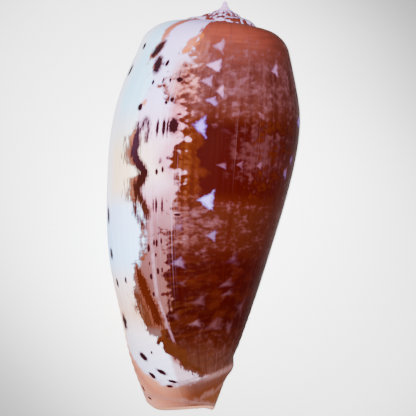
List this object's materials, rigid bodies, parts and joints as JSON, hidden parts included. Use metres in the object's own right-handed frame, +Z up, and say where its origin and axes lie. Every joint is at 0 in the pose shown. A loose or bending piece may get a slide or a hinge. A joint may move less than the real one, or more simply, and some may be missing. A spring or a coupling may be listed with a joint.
{
  "type": "cone shell",
  "caption": "Empty sea snail shell, a long rounded cone with a low pointed spire, a wide aperture and a notched front end, lying on its aperture.",
  "frame": {"origin": "Centre of the bounding box's base, on the plane the shell rests on.", "axes": "+Y runs along the shell towards its apex, +Z is up through its back, and the lip is on the -X side."},
  "size_m": [0.0304, 0.065, 0.0261],
  "materials": {
    "shell": "polished, brown mottling on cream, lilac and blue-white"
  },
  "bodies": {
    "root": {"shell": "shell"}
  },
  "joints": []
}
